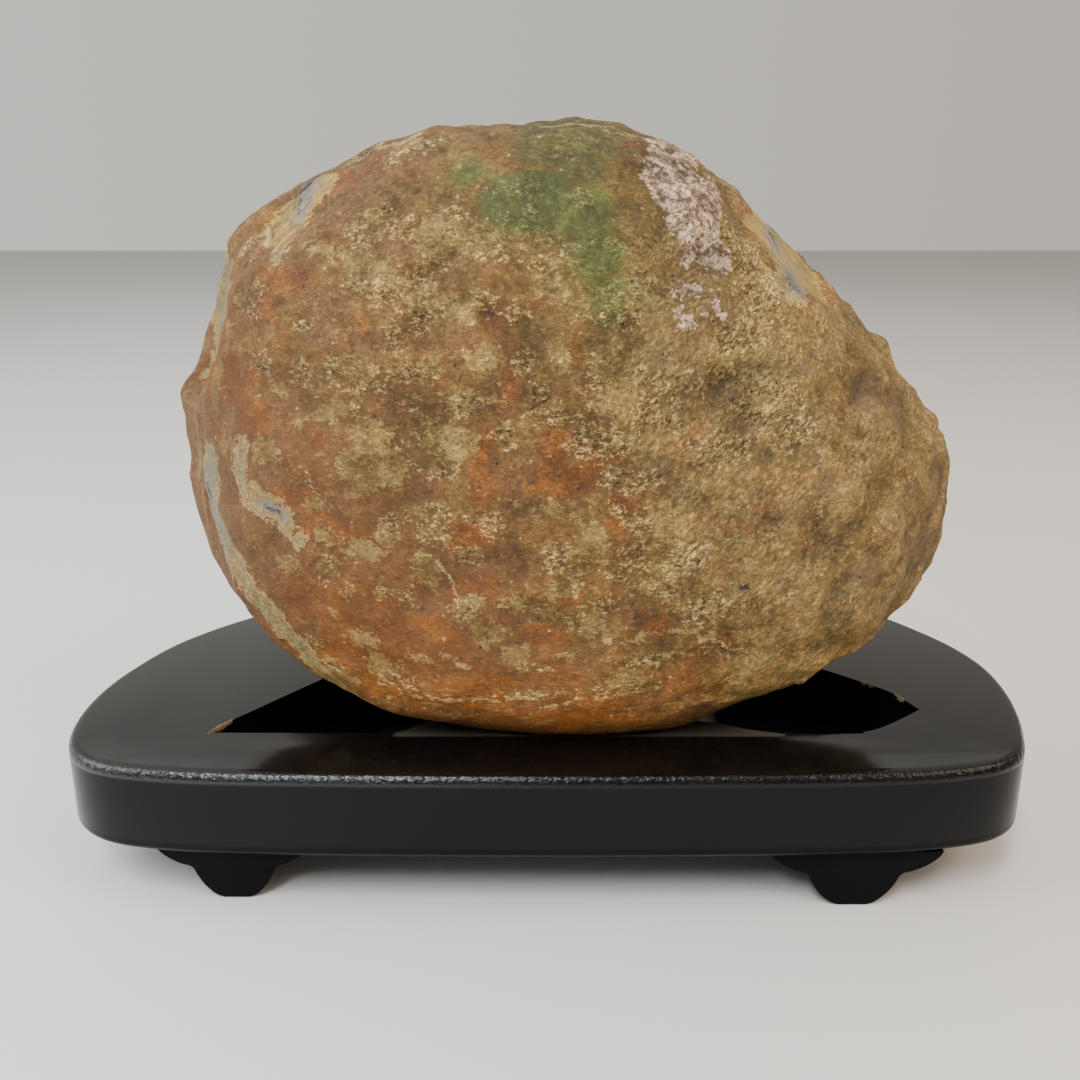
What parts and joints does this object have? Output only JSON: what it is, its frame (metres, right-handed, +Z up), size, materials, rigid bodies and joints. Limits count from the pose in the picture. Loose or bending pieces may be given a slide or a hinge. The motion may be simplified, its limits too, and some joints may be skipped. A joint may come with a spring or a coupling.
{
  "type": "viewing stone",
  "caption": "Weathered jade-like boulder resting in the carved recess of an oval black lacquered wooden stand with small scalloped feet.",
  "frame": {"origin": "on the ground under the middle of the stand's bounding box", "axes": "+X along the stand's long way, +Y towards its back, +Z up"},
  "size_m": [0.2299, 0.122, 0.1688],
  "materials": {
    "stone_rind": "weathered, matt, rust brown with olive and cream patches",
    "black_lacquer": "black lacquer, glossy"
  },
  "bodies": {
    "root": {"stone": "stone_rind", "stand_top": "black_lacquer", "foot_front_left": "black_lacquer", "foot_front_right": "black_lacquer", "foot_back_left": "black_lacquer", "foot_back_right": "black_lacquer"}
  },
  "joints": []
}
